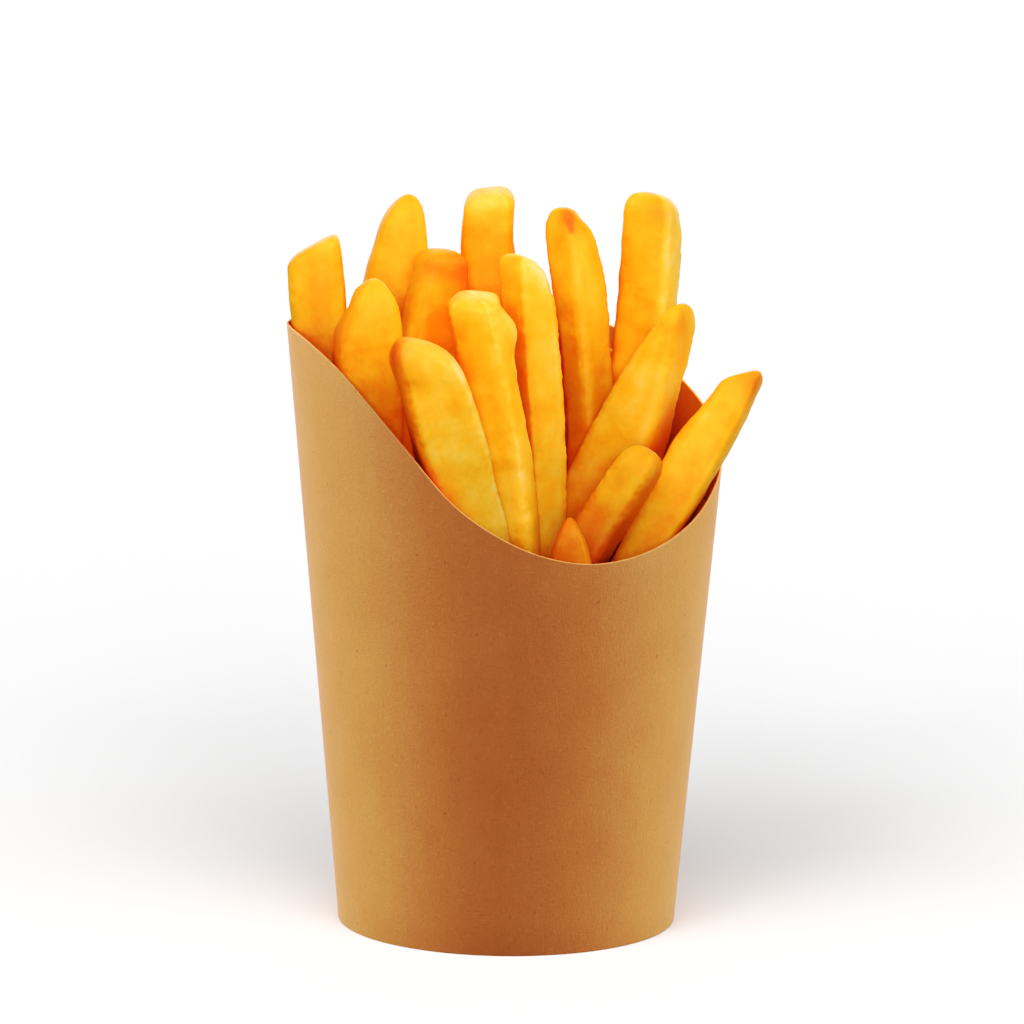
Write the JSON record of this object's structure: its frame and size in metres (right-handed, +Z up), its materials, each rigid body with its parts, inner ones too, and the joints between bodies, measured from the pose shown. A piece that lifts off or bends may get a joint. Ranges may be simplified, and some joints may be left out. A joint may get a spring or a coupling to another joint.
{
  "type": "french fries in a carton",
  "caption": "Thick-cut french fries standing in a round kraft-board scoop cup with a recessed bottom disc and a sloping, scooped rim.",
  "frame": {"origin": "on the floor, under the middle of the whole part's box", "axes": "+Z up, along the cup's axis and out of its mouth; the rim's scoop opens towards -Y and +X"},
  "size_m": [0.0974, 0.089, 0.151],
  "materials": {
    "kraft_wall": "uncoated brown kraft board, matt with a faint sheen",
    "kraft_base": "uncoated brown kraft board, matt with a faint sheen",
    "fried_potato": "fried potato, golden, slightly oily, browned at some tips"
  },
  "bodies": {
    "root": {"cup_wall": "kraft_wall", "cup_base": "kraft_base", "fries": "fried_potato"}
  },
  "joints": []
}
